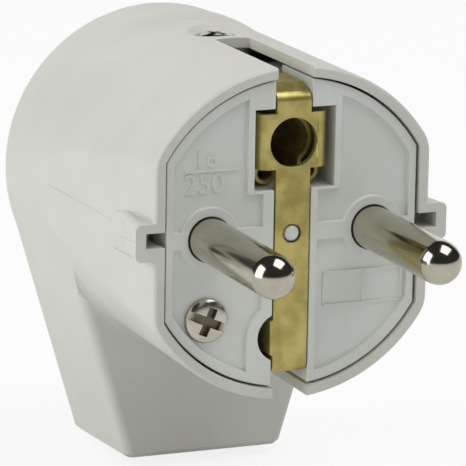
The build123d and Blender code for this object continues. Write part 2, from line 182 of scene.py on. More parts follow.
class SurfaceEffects:
    """The shader groups that several finishes share."""

    speck_rarity: float = 0.8
    hairline_fade: float = 0.08
    mark_core: float = 0.4

    def __init__(self) -> None:
        """Builds each group once."""
        self.grain = self.build_grain()
        self.specks = self.build_specks()
        self.hairlines = self.build_hairlines()
        self.mark = self.build_mark()

    @staticmethod
    def start(
        name: str, vectors: tuple[str, ...], numbers: tuple[str, ...], outputs: tuple[str, ...]
    ) -> tuple[Bench, Entry, Leave]:
        """Starts a shader group with its sockets.

        Args:
            name: The group's name.
            vectors: The names of the vector inputs.
            numbers: The names of the number inputs.
            outputs: The names of the number outputs.

        Returns:
            A bench for the group, its input sockets and its output sockets.
        """
        tree = bpy.data.node_groups.new(name, "ShaderNodeTree")
        rows = [(label, "INPUT", "NodeSocketVector") for label in vectors]
        rows += [(label, "INPUT", "NodeSocketFloat") for label in numbers]
        rows += [(label, "OUTPUT", "NodeSocketFloat") for label in outputs]
        for label, side, kind in rows:
            tree.interface.new_socket(name=label, in_out=side, socket_type=kind)
        bench = Bench(tree)
        entry = bench.add("NodeGroupInput")
        leave = bench.add("NodeGroupOutput")
        return bench, entry.outputs, leave.inputs

    def build_grain(self) -> bpy.types.NodeTree:
        """Builds the fine height and broad tone of a moulded or rolled surface."""
        scales = ("Grain Scale", "Cloud Scale")
        bench, entry, leave = self.start("surface_grain", ("Place",), scales, ("Height", "Tone"))
        place = entry["Place"]
        fine, cloud = (
            bench.add("ShaderNodeTexNoise", {"Vector": place, "Scale": entry[scale], "Detail": detail})
            for scale, detail in zip(scales, (3.0, 2.0))
        )
        bench.tree.links.new(fine.outputs["Fac"], leave["Height"])
        bench.tree.links.new(bench.spread(cloud.outputs["Fac"], *NOISE_RANGE), leave["Tone"])
        return bench.tree

    def build_specks(self) -> bpy.types.NodeTree:
        """Builds the mask of small stray specks of dirt."""
        bench, entry, leave = self.start("stray_specks", ("Place",), ("Scale", "Size"), ("Mask",))
        cells = bench.add("ShaderNodeTexVoronoi", {"Vector": entry["Place"], "Scale": entry["Scale"]})
        chance = bench.add("ShaderNodeSeparateColor", {0: cells.outputs["Color"]}).outputs[0]
        near = bench.math("LESS_THAN", cells.outputs["Distance"], entry["Size"])
        rare = bench.math("GREATER_THAN", chance, self.speck_rarity)
        bench.tree.links.new(bench.math("MULTIPLY", near, rare), leave["Mask"])
        return bench.tree

    def build_hairlines(self) -> bpy.types.NodeTree:
        """Builds the mask of fine drawn lines that follow a stretched place vector."""
        bench, entry, leave = self.start("hairlines", ("Place",), ("Scale", "Cover"), ("Mask", "Tone"))
        noise = {"Vector": entry["Place"], "Scale": entry["Scale"], "Detail": 4.0}
        lines = bench.add("ShaderNodeTexNoise", noise)
        above = bench.math("SUBTRACT", lines.outputs["Fac"], entry["Cover"])
        bench.tree.links.new(bench.spread(above, 0.0, self.hairline_fade), leave["Mask"])
        bench.tree.links.new(lines.outputs["Fac"], leave["Tone"])
        return bench.tree

    def build_mark(self) -> bpy.types.NodeTree:
        """Builds the mask of one straight mark between two points."""
        bench, entry, leave = self.start("straight_mark", ("Place", "Start", "End"), ("Width",), ("Mask",))
        reach = bench.vector("SUBTRACT", entry["Place"], entry["Start"])
        run = bench.vector("SUBTRACT", entry["End"], entry["Start"])
        along = bench.vector("DOT_PRODUCT", reach, run, output="Value")
        length = bench.vector("DOT_PRODUCT", run, run, output="Value")
        share = bench.math("DIVIDE", along, length, clamp=True)
        foot = bench.add("ShaderNodeVectorMath", {0: run, "Scale": share}, operation="SCALE")
        away = bench.vector("DISTANCE", reach, foot.outputs["Vector"], output="Value")
        ratio = bench.math("DIVIDE", away, entry["Width"])
        bench.tree.links.new(bench.spread(ratio, self.mark_core, 1.0, 1.0, 0.0), leave["Mask"])
        return bench.tree


@dataclass(frozen=True)
class Mark:
    """A straight scuff or seam: its start, end and width in millimetres, and its depth from 0 to 1."""

    start: tuple[float, float, float]
    end: tuple[float, float, float]
    width: float
    depth: float


@dataclass(frozen=True)
class Finish(ABC):
    """What every finish has: its name, its slot in the record, its two tones and its gloss."""

    name: str
    slot: str
    tone: Colour
    shade: Colour
    roughness: float

    @abstractmethod
    def make(self, effects: SurfaceEffects) -> bpy.types.Material:
        """Builds the material.

        Args:
            effects: The shared shader groups.

        Returns:
            The material.
        """

    def begin(self) -> tuple[bpy.types.Material, Bench, bpy.types.Node, Socket]:
        """Starts the material.

        Returns:
            The material, its bench, its main shader and the socket of object coordinates.
        """
        material = bpy.data.materials.new(self.name)
        material.use_nodes = True
        bench = Bench(material.node_tree)
        shader = material.node_tree.nodes["Principled BSDF"]
        place = bench.add("ShaderNodeTexCoord").outputs["Object"]
        return material, bench, shader, place

    @staticmethod
    def raise_grain(bench: Bench, shader: bpy.types.Node, height: Socket, depth: float) -> None:
        """Feeds a height to the shader as fine bump.

        Args:
            bench: The material's bench.
            shader: The main shader.
            height: The height's socket.
            depth: How deep the bump is, in millimetres.
        """
        bump = bench.add("ShaderNodeBump", {"Strength": 1.0, "Distance": depth * MM, "Height": height})
        bench.tree.links.new(bump.outputs["Normal"], shader.inputs["Normal"])


@dataclass(frozen=True)
class MouldedPlastic(Finish):
    """A moulded plastic with a fine skin, faint clouds, stray specks and a few marks."""

    grain_depth: float = 0.006
    grain_scale: float = 4200.0
    cloud_scale: float = 130.0
    speck_scale: float = 220.0
    speck_size: float = 0.045
    speck_share: float = 0.35
    grime_share: float = 0.55
    gloss_drop: float = 0.04
    gloss_rise: float = 0.06
    marks: tuple[Mark, ...] = ()

    def make(self, effects: SurfaceEffects) -> bpy.types.Material:
        """Builds the material.

        Args:
            effects: The shared shader groups.

        Returns:
            The material.
        """
        material, bench, shader, place = self.begin()
        skin = bench.add(
            "ShaderNodeGroup",
            {"Place": place, "Grain Scale": self.grain_scale, "Cloud Scale": self.cloud_scale},
            node_tree=effects.grain,
        )
        colour = bench.blend(skin.outputs["Tone"], linear(self.shade), linear(self.tone))
        specks = {"Place": place, "Scale": self.speck_scale, "Size": self.speck_size}
        dirt = bench.add("ShaderNodeGroup", specks, node_tree=effects.specks)
        dirt_share = bench.math("MULTIPLY", dirt.outputs["Mask"], self.speck_share)
        grime = tuple(channel * self.grime_share for channel in linear(self.shade)[:3]) + (1.0,)
        colour = bench.blend(dirt_share, colour, grime)
        for mark in self.marks:
            line = bench.add(
                "ShaderNodeGroup",
                {
                    "Place": place,
                    "Start": [value * MM for value in mark.start],
                    "End": [value * MM for value in mark.end],
                    "Width": mark.width * MM,
                },
                node_tree=effects.mark,
            )
            colour = bench.blend(bench.math("MULTIPLY", line.outputs["Mask"], mark.depth), colour, grime)
        bench.tree.links.new(colour, shader.inputs["Base Color"])
        smooth, rough = self.roughness - self.gloss_drop, self.roughness + self.gloss_rise
        gloss = bench.spread(skin.outputs["Height"], *NOISE_RANGE, smooth, rough)
        bench.tree.links.new(gloss, shader.inputs["Roughness"])
        self.raise_grain(bench, shader, skin.outputs["Height"], self.grain_depth)
        return material


@dataclass(frozen=True)
class BareMetal(Finish):
    """A bare or plated metal with drawn hairlines, soft clouds and, where asked, a polished end."""

    metallic: float = 1.0
    stretch: tuple[float, float, float] = (1.0, 1.0, 1.0)
    line_scale: float = 900.0
    line_depth: float = 0.002
    line_cover: float = 0.56
    grain_scale: float = 2500.0
    cloud_scale: float = 420.0
    gloss_swing: float = 0.15
    polish_start: float | None = None
    polish_band: float = 0.2
    polish_roughness: float = 0.05
    # A darker colour for recesses: dirt and painted shade together
    recess_dirt_and_shade: Colour | None = None
    recess_roughness: float = 0.5

    def make(self, effects: SurfaceEffects) -> bpy.types.Material:
        """Builds the material.

        Args:
            effects: The shared shader groups.

        Returns:
            The material.
        """
        material, bench, shader, place = self.begin()
        shader.inputs["Metallic"].default_value = self.metallic
        drawn = bench.add("ShaderNodeMapping", {"Vector": place, "Scale": self.stretch})
        lines = bench.add(
            "ShaderNodeGroup",
            {"Place": drawn.outputs[0], "Scale": self.line_scale, "Cover": self.line_cover},
            node_tree=effects.hairlines,
        )
        clouds = bench.add(
            "ShaderNodeGroup",
            {"Place": place, "Grain Scale": self.grain_scale, "Cloud Scale": self.cloud_scale},
            node_tree=effects.grain,
        )
        colour = bench.blend(clouds.outputs["Tone"], linear(self.shade), linear(self.tone))
        smooth, rough = (self.roughness * (1 + swing) for swing in (-self.gloss_swing, self.gloss_swing))
        gloss = bench.spread(lines.outputs["Tone"], *NOISE_RANGE, smooth, rough)
        if self.recess_dirt_and_shade is not None:
            # Dirt and painted shade: points deep in a recess take a darker, browner colour and a rougher
            # gloss
            deep = bench.add("ShaderNodeAttribute", attribute_name="recess").outputs["Fac"]
            colour = bench.blend(deep, colour, linear(self.recess_dirt_and_shade))
            gloss = bench.math("MAXIMUM", gloss, bench.math("MULTIPLY", deep, self.recess_roughness))
        height = lines.outputs["Mask"]
        if self.polish_start is not None:
            depth = bench.add("ShaderNodeSeparateXYZ", {0: place}).outputs["Y"]
            start = self.polish_start * MM
            worn = bench.spread(depth, start - self.polish_band * MM, start)
            height = bench.math("MULTIPLY", height, worn)
            matt = bench.math("MULTIPLY", worn, bench.math("SUBTRACT", gloss, self.polish_roughness))
            gloss = bench.math("ADD", matt, self.polish_roughness)
        bench.tree.links.new(colour, shader.inputs["Base Color"])
        bench.tree.links.new(gloss, shader.inputs["Roughness"])
        self.raise_grain(bench, shader, height, self.line_depth)
        return material


class FinishName(Enum):
    """The finishes on the plug."""

    CASING = "casing"
    CARRIER = "carrier"
    NICKEL = "nickel"
    BRASS = "brass"
    STEEL = "steel"


FINISHES: dict[FinishName, Finish] = {
    FinishName.CASING: MouldedPlastic(
        name="casing_plastic",
        slot="casing_plastic",
        tone=(209, 210, 201),
        shade=(205, 206, 197),
        roughness=0.42,
        marks=(
            Mark((-17.88, 28.15, 0.75), (-17.47, 22.0, 0.65), 0.16, 0.3),
            Mark((-17.47, 22.0, 0.65), (-16.72, 10.7, 0.4), 0.13, 0.22),
            Mark((-16.66, 9.85, 1.6), (-16.32, 4.75, 2.55), 0.14, 0.3),
            Mark((-16.32, 4.75, 2.55), (-16.06, 0.95, 2.5), 0.16, 0.35),
            Mark((-16.59, 8.8, -0.95), (-18.17, 0.17, 0.4), 0.12, 0.25),
            Mark((-16.68, 10.25, -2.55), (-16.34, 5.1, -2.55), 0.14, 0.4),
        ),
    ),
    FinishName.CARRIER: MouldedPlastic(
        name="carrier_plastic",
        slot="carrier_plastic",
        tone=(217, 221, 214),
        shade=(212, 216, 208),
        roughness=0.36,
        cloud_scale=180.0,
        speck_share=0.25,
    ),
    FinishName.NICKEL: BareMetal(
        name="nickel_plate",
        slot="nickel",
        tone=(196, 191, 174),
        shade=(186, 181, 164),
        roughness=0.17,
        stretch=(1.0, 0.06, 1.0),
        polish_start=-16.6,
        polish_roughness=0.14,
    ),
    FinishName.BRASS: BareMetal(
        name="rolled_brass",
        slot="brass",
        tone=(206, 192, 118),
        shade=(173, 159, 93),
        roughness=0.38,
        metallic=0.75,
        stretch=(1.0, 1.0, 0.1),
        line_scale=1400.0,
    ),
    FinishName.STEEL: BareMetal(
        name="bright_steel",
        slot="steel",
        tone=(205, 202, 192),
        shade=(190, 186, 174),
        roughness=0.24,
        # The recess colour is dirt and painted shade in the screws' slots and crosses
        recess_dirt_and_shade=(124, 118, 100),
    ),
}


class Wardrobe:
    """Makes each finish once and puts it on pieces."""

    def __init__(self) -> None:
        """Builds the shared effects and every finish."""
        effects = SurfaceEffects()
        self.materials = {name: finish.make(effects) for name, finish in FINISHES.items()}

    def dress(self, piece: bpy.types.Object, name: FinishName, *nodes: str) -> None:
        """Gives a piece its finish and ties it to the plug.

        Args:
            piece: The finished piece.
            name: The finish that it takes.
            *nodes: The solids that it stands for.
        """
        piece.data.materials.clear()
        piece.data.materials.append(self.materials[name])
        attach(piece, BODY)
        if nodes:
            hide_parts(*nodes)
        LOG.info("%s: %d faces, %s", piece.name, len(piece.data.polygons), FINISHES[name].name)


def show(name: str, mesh: bpy.types.Mesh) -> bpy.types.Object:
    """Puts a mesh in the scene as an object at the origin.

    Args:
        name: The object's name.
        mesh: Its mesh, in the frame's place.

    Returns:
        The object.
    """
    piece = bpy.data.objects.new(name, mesh)
    bpy.context.scene.collection.objects.link(piece)
    return piece


def bake(piece: bpy.types.Object) -> bpy.types.Mesh:
    """Returns a piece's plain mesh, with its curve or its modifiers worked out."""
    graph = bpy.context.evaluated_depsgraph_get()
    return bpy.data.meshes.new_from_object(piece.evaluated_get(graph))


@dataclass
class SmoothCopy:
    """A welded copy of a solid, with its sharp edges softened.

    The softening is a narrow bevel, in millimetres, on every edge sharper than the crease, in degrees.
    Edges within the reach of a plain spot, in millimetres, get no bevel, and very short ones stay sharp.
    Flat areas are merged into one face each where that is asked, and a reshaping step may move points first.
    """

    node: str
    name: str
    crease: float = 30.0
    softening: float = 0.0
    segments: int = 2
    merge_flats: bool = True
    plain_spots: tuple[tuple[float, float, float], ...] = ()
    plain_reach: float = 5.0
    reshape: Callable[[bmesh.types.BMesh], None] | None = None

    def build(self) -> bpy.types.Object:
        """Builds the copy.

        Returns:
            The new piece.
        """
        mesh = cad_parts[self.node].data.copy()
        mesh.name = self.name
        for layer in [a for a in mesh.attributes if a.name == "custom_normal"]:
            mesh.attributes.remove(layer)
        work = bmesh.new()
        work.from_mesh(mesh)
        bmesh.ops.remove_doubles(work, verts=work.verts, dist=WELD)
        if self.merge_flats:
            bmesh.ops.dissolve_limit(work, angle_limit=FLAT_ANGLE, verts=work.verts, edges=work.edges)
        if self.reshape is not None:
            self.reshape(work)
        for face in work.faces:
            face.smooth = True
        self.sort_edges(work)
        work.to_mesh(mesh)
        work.free()
        piece = show(self.name, mesh)
        if self.softening:
            bevel = piece.modifiers.new("softened_edges", "BEVEL")
            bevel.width = self.softening * MM
            bevel.segments = self.segments
            bevel.limit_method = "WEIGHT"
            bevel.use_clamp_overlap = False
        weighted = piece.modifiers.new("even_shading", "WEIGHTED_NORMAL")
        weighted.keep_sharp = True
        plain_mesh = bake(piece)
        piece.modifiers.clear()
        piece.data = plain_mesh
        return piece

    def sort_edges(self, work: bmesh.types.BMesh) -> None:
        """Sets which sharp edges the bevel takes and which stay sharp.

        Args:
            work: The copy's mesh.
        """
        soft = work.edges.layers.float.new("bevel_weight_edge")
        for edge in work.edges:
            middle = (edge.verts[0].co + edge.verts[1].co) / 2 / MM
            plain = any((middle - Vector(spot)).length < self.plain_reach for spot in self.plain_spots)
            short = plain and edge.calc_length() < SHORT_EDGE
            sharp = short or edge.calc_face_angle(0.0) > math.radians(self.crease)
            bevelled = sharp and not plain and self.softening > 0
            edge[soft] = float(bevelled)
            edge.smooth = bevelled or not sharp


@dataclass
class Casing:
    """The moulded shell, with the outlet's rounded front edges carried up to the round body.

    The outlet's leaning sides lie at their reach from the middle, at the pins' height, and draw in below it.
    Points count as lying in its front or on its sides within the tolerances.
    """

    softening: float = 0.08
    outlet_front: float = 24.3
    outlet_round: float = 1.2
    side_reach: float = 18.87
    side_lean: float = 0.301
    front_tolerance: float = 0.01
    side_tolerance: float = 0.02
    outlet_corners: tuple[tuple[float, float, float], ...] = ((-15.2, 24.3, -10.9), (15.2, 24.3, -10.9))

    def build(self, wardrobe: Wardrobe) -> None:
        """Builds and dresses the shell."""
        copy = SmoothCopy(
            "casing",
            "casing_shell",
            softening=self.softening,
            plain_spots=self.outlet_corners,
            reshape=self.round_corners,
        )
        wardrobe.dress(copy.build(), FinishName.CASING, "casing")

    def round_corners(self, work: bmesh.types.BMesh) -> None:
        """Moves the points in the plane of the outlet's front back onto its rounded edges.

        Args:
            work: The copy's mesh.
        """
        squareness = math.cos(math.atan(self.side_lean))
        for vert in work.verts:
            across, depth, height = vert.co / MM
            inset = (self.side_reach + self.side_lean * height - abs(across)) * squareness
            in_front = abs(depth - self.outlet_front) < self.front_tolerance
            if in_front and -self.side_tolerance < inset < self.outlet_round:
                rest = self.outlet_round - max(inset, 0.0)
                vert.co.y += (self.outlet_round - math.sqrt(self.outlet_round**2 - rest**2)) * MM


@dataclass
class ContactCarrier:
    """The plate that carries the contacts, with its raised rating figures and its bare framed field."""

    softening: float = 0.1
    panel_level: float = 0.9
    figure_rise: float = 0.2
    figure_edge: float = 0.04
    figure_size_share: float = 0.69
    figure_steps: int = 6
    figure_crease: float = 30.0
    line_width: float = 0.22
    figures: tuple[tuple[str, float, float, float], ...] = (
        ("16", -10.0, 7.85, 1.95),
        ("250", -10.1, 4.95, 2.2),
    )
    rule: tuple[float, float, float] = (-12.4, -6.0, 7.42)
    field_box: tuple[float, float, float, float] = (3.9, 13.3, -8.5, -4.6)
    field_divider: float = 8.6

    def build(self, wardrobe: Wardrobe) -> None:
        """Builds and dresses the plate, the figures and the field."""
        plate = SmoothCopy("contact_carrier", "carrier_plate", softening=self.softening).build()
        wardrobe.dress(plate, FinishName.CARRIER, "contact_carrier")
        for text, middle, foot, height in self.figures:
            piece = self.raise_figure(text, middle, foot, height)
            wardrobe.dress(piece, FinishName.CARRIER)
        left, right, level = self.rule
        strips = [(left, right, level - self.line_width / 2, level + self.line_width / 2)]
        wardrobe.dress(self.raise_strips("rating_rule", strips), FinishName.CARRIER)
        wardrobe.dress(self.raise_strips("bare_field", self.field_strips()), FinishName.CARRIER)

    def field_strips(self) -> list[tuple[float, float, float, float]]:
        """Returns the strips of the framed field, as left, right, low and high sides."""
        left, right, low, high = self.field_box
        width = self.line_width
        rows = [(left, right, level, level + width) for level in (low, high - width)]
        uprights = (left, self.field_divider, right - width)
        return rows + [(place, place + width, low + width, high - width) for place in uprights]

    def raise_figure(self, text: str, middle: float, foot: float, height: float) -> bpy.types.Object:
        """Raises one group of figures from the panel.

        Args:
            text: The figures.
            middle: Where their middle lies across the face.
            foot: The height of their foot line.
            height: How tall they are.

        Returns:
            The raised figures.
        """
        curve = bpy.data.curves.new(f"figure_{text}", "FONT")
        curve.body = text
        curve.align_x = "CENTER"
        curve.size = height / self.figure_size_share * MM
        curve.extrude = self.figure_rise / 2 * MM
        curve.bevel_depth = self.figure_edge * MM
        curve.offset = -self.figure_edge * MM
        curve.resolution_u = self.figure_steps
        holder = show(f"figure_curve_{text}", curve)
        mesh = bake(holder)
        bpy.data.objects.remove(holder)
        work = bmesh.new()
        work.from_mesh(mesh)
        bmesh.ops.remove_doubles(work, verts=work.verts, dist=WELD)
        bmesh.ops.recalc_face_normals(work, faces=work.faces)
        work.to_mesh(mesh)
        work.free()
        seat = Matrix.Translation((middle * MM, self.panel_level * MM, foot * MM))
        mesh.transform(seat @ Matrix.Rotation(math.pi / 2, 4, "X"))
        mesh.set_sharp_from_angle(angle=math.radians(self.figure_crease))
        return show(f"figure_{text}", mesh)

    def raise_strips(self, name: str, strips: list[tuple[float, float, float, float]]) -> bpy.types.Object:
        """Raises straight strips from the panel, each with sloping sides.

        Args:
            name: The piece's name.
            strips: The left, right, low and high sides of each strip's foot.

        Returns:
            The raised strips.
        """
        work = bmesh.new()
        level = self.panel_level - self.figure_rise
        for left, right, low, high in strips:
            foot, top = (
                [(left + s, low + s), (right - s, low + s), (right - s, high - s), (left + s, high - s)]
                for s in (0.0, self.figure_edge)
            )
            rings = [
                [work.verts.new((x * MM, y * MM, z * MM)) for x, z in outline]
                for outline, y in ((foot, self.panel_level), (top, level))
            ]
            work.faces.new(rings[1])
            work.faces.new(rings[0][::-1])
            for here in range(4):
                after = (here + 1) % 4
                work.faces.new((rings[0][here], rings[0][after], rings[1][after], rings[1][here]))
        bmesh.ops.recalc_face_normals(work, faces=work.faces)
        mesh = bpy.data.meshes.new(name)
        work.to_mesh(mesh)
        work.free()
        return show(name, mesh)


@dataclass
class PinPair:
    """The two turned contact pins."""

    nodes: tuple[str, str] = ("left_pin", "right_pin")

    def build(self, wardrobe: Wardrobe) -> None:
        """Builds and dresses both pins."""
        for node in self.nodes:
            pin = SmoothCopy(node, f"{node}_turned").build()
            wardrobe.dress(pin, FinishName.NICKEL, node)


@dataclass
class EarthContact:
    """The folded strap, the spring sleeve and the washer of the earth terminal."""

    copies: tuple[tuple[SmoothCopy, FinishName], ...] = (
        (SmoothCopy("earth_strap", "strap_folded", softening=0.07), FinishName.BRASS),
        (SmoothCopy("earth_sleeve", "sleeve_rolled", merge_flats=False), FinishName.BRASS),
        (SmoothCopy("earth_terminal_washer", "terminal_washer", softening=0.07), FinishName.STEEL),
    )

    def build(self, wardrobe: Wardrobe) -> None:
        """Builds and dresses the earth contact's pieces."""
        for copy, finish in self.copies:
            wardrobe.dress(copy.build(), finish, copy.node)


@dataclass
class CordClamp:
    """The bar that holds the cord."""

    softening: float = 0.15

    def build(self, wardrobe: Wardrobe) -> None:
        """Builds and dresses the bar."""
        bar = SmoothCopy("cord_clamp_bar", "clamp_bar", softening=self.softening).build()
        wardrobe.dress(bar, FinishName.CARRIER, "cord_clamp_bar")


class Facing(Enum):
    """The way a screw's head faces."""

    FRONT = (0, -1, 0)
    BACK = (0, 1, 0)
    LEFT = (-1, 0, 0)
    UP = (0, 0, 1)


@dataclass(frozen=True)
class Screw:
    """One screw: its solid, the way it faces, its head, shank and recess in millimetres, and its turn."""

    node: str
    facing: Facing
    head_height: float
    shank_diameter: float
    pitch: float
    slot_width: float = 0.8
    slot_depth: float = 0.45
    cross_width: float = 0.75
    cross_reach: float = 2.6
    cross_depth: float = 0.75
    turn: float = 0.0


@dataclass
class ScrewSet:
    """Every screw, made by one node tree from its sizes.

    One arm of the cross is a little less deep than the other, by a share of its depth.
    The slot's span and the reach of the recess's dirt and painted shade are shares of the head's radius.
    The shank sinks into the head and closes there in its last row.
    """

    segments: int = 48
    head_rows: int = 13
    rows_per_turn: int = 6
    thread_depth: float = 0.32
    roundness: float = 0.6
    sink: float = 0.12
    short_arm_share: float = 0.94
    slot_span_share: float = 3.0
    recess_start: float = 0.2
    recess_reach_share: float = 0.75
    last_row: float = 0.999
    crease: float = 35.0
    screws: tuple[Screw, ...] = (
        Screw(
            "carrier_screw", Facing.FRONT, 0.9, 3.0, 1.3,
            turn=-23.0, slot_width=0.9, cross_width=1.0, cross_reach=3.2,
        ),
        Screw("casing_screw", Facing.UP, 0.9, 2.6, 1.1, turn=35.0, cross_reach=2.4),
        Screw("left_terminal_screw", Facing.BACK, 2.0, 3.2, 0.6, turn=12.0, slot_depth=0.5),
        Screw("right_terminal_screw", Facing.BACK, 2.0, 3.2, 0.6, turn=64.0, slot_depth=0.5),
        Screw("earth_terminal_screw", Facing.LEFT, 1.8, 3.0, 0.6, turn=40.0),
        Screw("left_clamp_screw", Facing.FRONT, 1.8, 2.9, 1.3, turn=20.0),
        Screw("right_clamp_screw", Facing.FRONT, 1.8, 2.9, 1.3, turn=75.0),
    )

    def build(self, wardrobe: Wardrobe) -> None:
        """Builds and dresses every screw."""
        tree = self.build_tree()
        for screw in self.screws:
            piece = self.turn_out(screw, tree, wardrobe.materials[FinishName.STEEL])
            wardrobe.dress(piece, FinishName.STEEL, screw.node)

    def turn_out(self, screw: Screw, tree: bpy.types.NodeTree, steel: bpy.types.Material) -> bpy.types.Object:
        """Makes one screw and sets it where its solid is.

        Args:
            screw: The screw's sizes.
            tree: The node tree that makes screws.
            steel: The screw's material.

        Returns:
            The screw as a plain mesh.
        """
        low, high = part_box(screw.node)
        axis = Vector(screw.facing.value)
        middle, half = (low + high) / 2, (high - low) / 2
        along = max(range(3), key=lambda part: abs(axis[part]))
        across = (along + 1) % 3
        seat = middle + axis * (half[along] - screw.head_height * MM)
        shank_length = 2 * half[along] / MM - screw.head_height
        sizes = {
            "Head Radius": half[across],
            "Head Height": screw.head_height * MM,
            "Shank Radius": screw.shank_diameter / 2 * MM,
            "Shank Length": shank_length * MM,
            "Shank Rows": round(shank_length / screw.pitch * self.rows_per_turn),
            "Pitch": screw.pitch * MM,
            "Slot Width": screw.slot_width * MM,
            "Slot Depth": screw.slot_depth * MM,
            "Cross Width": screw.cross_width * MM,
            "Cross Reach": screw.cross_reach * MM,
            "Cross Depth": screw.cross_depth * MM,
            "Finish": steel,
        }
        holder = show(f"{screw.node}_maker", bpy.data.meshes.new(f"{screw.node}_maker"))
        maker = holder.modifiers.new("screw_maker", "NODES")
        maker.node_group = tree
        for item in tree.interface.items_tree:
            if item.item_type == "SOCKET" and item.in_out == "INPUT" and item.name in sizes:
                maker[item.identifier] = sizes[item.name]
        mesh = bake(holder)
        bpy.data.objects.remove(holder)
        aim = axis.to_track_quat("Z", "Y").to_matrix().to_4x4()
        mesh.transform(Matrix.Translation(seat) @ aim @ Matrix.Rotation(math.radians(screw.turn), 4, "Z"))
        mesh.shade_smooth()
        mesh.set_sharp_from_angle(angle=math.radians(self.crease))
        return show(f"{screw.node}_threaded", mesh)

    def build_tree(self) -> bpy.types.NodeTree:
        """Builds the node tree that makes a screw with its head up and its seat at the origin.

        Returns:
            The node tree.
        """
        tree = bpy.data.node_groups.new("threaded_screw", "GeometryNodeTree")
        tree.is_modifier = True
        lengths = ("Head Radius", "Head Height", "Shank Radius", "Shank Length", "Pitch")
        lengths += ("Slot Width", "Slot Depth", "Cross Width", "Cross Reach", "Cross Depth")
        tree.interface.new_socket(name="Geometry", in_out="OUTPUT", socket_type="NodeSocketGeometry")
        for label in lengths:
            tree.interface.new_socket(name=label, in_out="INPUT", socket_type="NodeSocketFloat")
        tree.interface.new_socket(name="Shank Rows", in_out="INPUT", socket_type="NodeSocketInt")
        tree.interface.new_socket(name="Finish", in_out="INPUT", socket_type="NodeSocketMaterial")
        bench = Bench(tree)
        entry = bench.add("NodeGroupInput").outputs
        head = self.cut_recess(bench, entry, self.turn_head(bench, entry))
        whole = bench.add("GeometryNodeJoinGeometry")
        for part in (head, self.turn_shank(bench, entry)):
            tree.links.new(part, whole.inputs[0])
        real = bench.add("GeometryNodeRealizeInstances", {0: whole.outputs[0]})
        dressed = {"Geometry": real.outputs[0], "Material": entry["Finish"]}
        done = bench.add("GeometryNodeSetMaterial", dressed)
        bench.add("NodeGroupOutput", {0: done.outputs[0]})
        return tree

    def wrap(self, bench: Bench, rows: Socket | int) -> tuple[Socket, Socket, Socket]:
        """Starts a turned surface as a flat grid.

        Args:
            bench: The tree's bench.
            rows: How many rows the surface has along its section.

        Returns:
            The grid, its share of the turn and its share of the section.
        """
        sizes = {"Size X": 1.0, "Size Y": 1.0, "Vertices X": self.segments + 1, "Vertices Y": rows}
        grid = bench.add("GeometryNodeMeshGrid", sizes)
        place = bench.add("ShaderNodeSeparateXYZ", {0: bench.add("GeometryNodeInputPosition").outputs[0]})
        return grid.outputs[0], *(bench.math("ADD", place.outputs[part], 0.5) for part in (0, 1))

    def close_turn(self, bench: Bench, grid: Socket, turn: Socket, radius: Socket, height: Socket) -> Socket:
        """Wraps a grid into a closed turned surface.

        Args:
            bench: The tree's bench.
            grid: The flat grid.
            turn: Each point's share of the turn.
            radius: Each point's radius.
            height: Each point's height.

        Returns:
            The closed surface.
        """
        angle = bench.math("MULTIPLY", turn, 2 * math.pi)
        across = [bench.math("MULTIPLY", radius, bench.math(name, angle)) for name in ("COSINE", "SINE")]
        place = bench.add("ShaderNodeCombineXYZ", {0: across[0], 1: across[1], 2: height})
        wrapped = bench.add("GeometryNodeSetPosition", {"Geometry": grid, "Position": place.outputs[0]})
        joined = bench.add("GeometryNodeMergeByDistance", {"Geometry": wrapped.outputs[0], "Distance": WELD})
        return joined.outputs[0]

    def turn_head(self, bench: Bench, entry: Entry) -> Socket:
        """Turns the head: flat below, with a rounded shoulder above.

        Args:
            bench: The tree's bench.
            entry: The tree's inputs.

        Returns:
            The whole head.
        """
        grid, turn, share = self.wrap(bench, self.head_rows)
        first = 1 / (self.head_rows - 1)
        past = bench.math("MAXIMUM", bench.math("SUBTRACT", share, first), 0.0)
        angle = bench.math("MULTIPLY", past, math.pi / 2 / (1 - first))
        reach = bench.math("POWER", bench.math("MAXIMUM", bench.math("COSINE", angle), 0.0), self.roundness)
        rise = bench.math("POWER", bench.math("MAXIMUM", bench.math("SINE", angle), 0.0), self.roundness)
        outside = bench.math("GREATER_THAN", share, first / 2)
        top = bench.math("LESS_THAN", share, 1 - first / 2)
        shown = bench.math("MULTIPLY", bench.math("MULTIPLY", outside, top), reach)
        radius = bench.math("MULTIPLY", shown, entry["Head Radius"])
        height = bench.math("MULTIPLY", rise, entry["Head Height"])
        return self.close_turn(bench, grid, turn, radius, height)

    def cut_recess(self, bench: Bench, entry: Entry, head: Socket) -> Socket:
        """Cuts the slot and the cross into the head and marks the points that lie deep in the recess, for its
        dirt and painted shade.

        Args:
            bench: The tree's bench.
            entry: The tree's inputs.
            head: The whole head.

        Returns:
            The head with its recess.
        """
        span = bench.math("MULTIPLY", entry["Head Radius"], self.slot_span_share)
        short_depth = bench.math("MULTIPLY", entry["Cross Depth"], self.short_arm_share)
        cuts = (
            (span, entry["Slot Width"], entry["Slot Depth"]),
            (entry["Cross Reach"], entry["Cross Width"], entry["Cross Depth"]),
            (entry["Cross Width"], entry["Cross Reach"], short_depth),
        )
        for width, breadth, depth in cuts:
